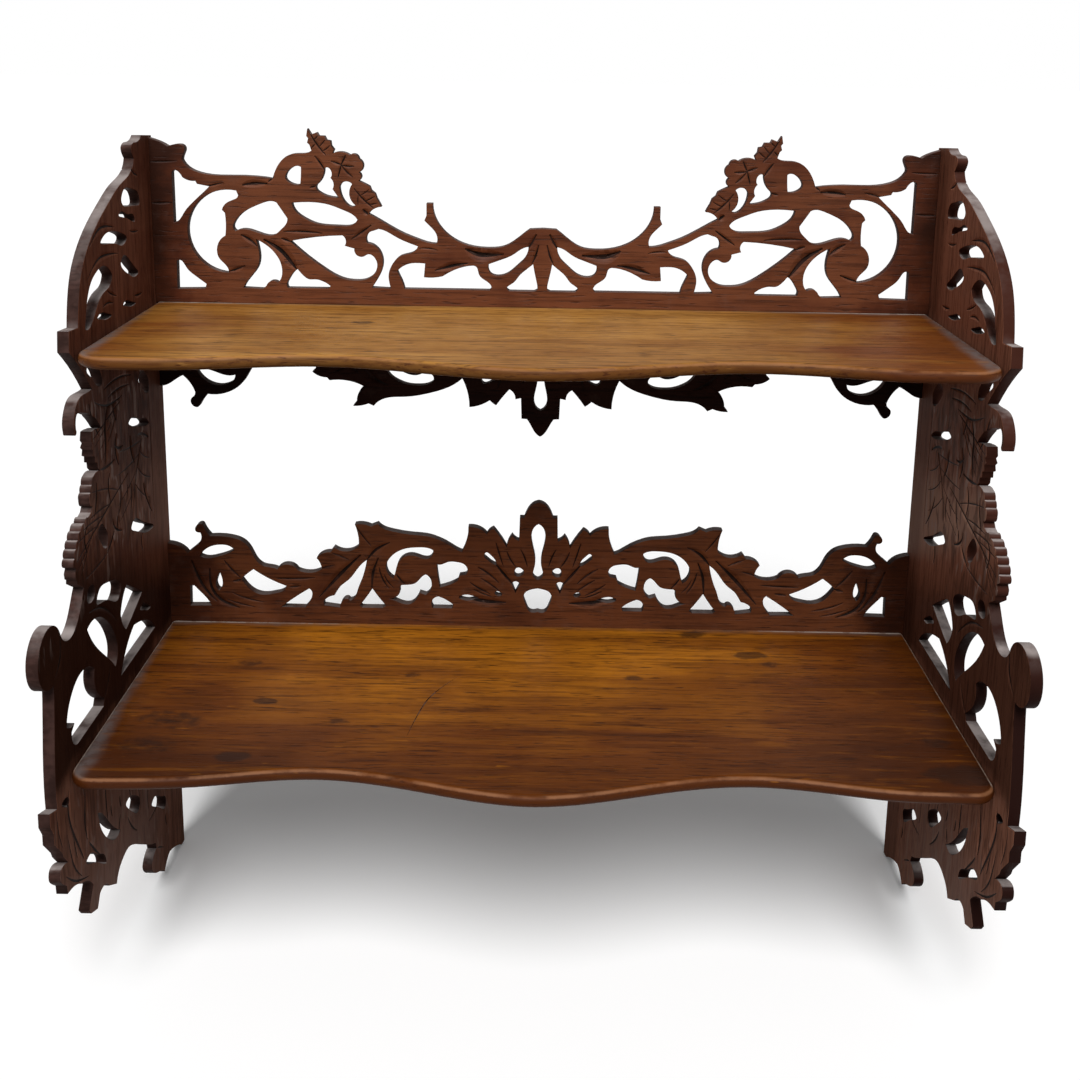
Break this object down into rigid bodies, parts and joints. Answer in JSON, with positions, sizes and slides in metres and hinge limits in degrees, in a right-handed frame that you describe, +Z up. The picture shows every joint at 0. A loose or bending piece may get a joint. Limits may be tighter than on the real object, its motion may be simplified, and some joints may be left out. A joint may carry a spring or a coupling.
{
  "type": "wall shelf",
  "caption": "Tiered wall-hung shelf with serpentine-fronted boards, pierced scrollwork sides and back boards, hung on keyhole plates.",
  "frame": {"origin": "midway between the two keyhole entry holes, on the wall plane (the rear faces of the boards)", "axes": "+X to the right as seen from the front, +Y towards the wall, +Z up"},
  "size_m": [0.636, 0.2835, 0.6275],
  "materials": {
    "panel_wood": "dark waxed wood, satin",
    "crest_wood": "brown waxed wood, satin",
    "shelf_wood": "golden brown polished wood",
    "screw_steel": "dull steel",
    "dowel_wood": "bare wood",
    "hanger_brass": "aged brass"
  },
  "bodies": {
    "root": {"left_side_panel": "panel_wood", "right_side_panel": "panel_wood", "upper_shelf": "shelf_wood", "lower_shelf": "shelf_wood", "upper_gallery": "crest_wood", "upper_apron": "panel_wood", "lower_gallery": "crest_wood", "shelf_screws": "screw_steel", "end_screws": "screw_steel", "back_screws": "screw_steel", "gallery_dowels": "dowel_wood", "left_hanger_plate": "hanger_brass", "right_hanger_plate": "hanger_brass", "hanger_screws": "hanger_brass"}
  },
  "joints": []
}
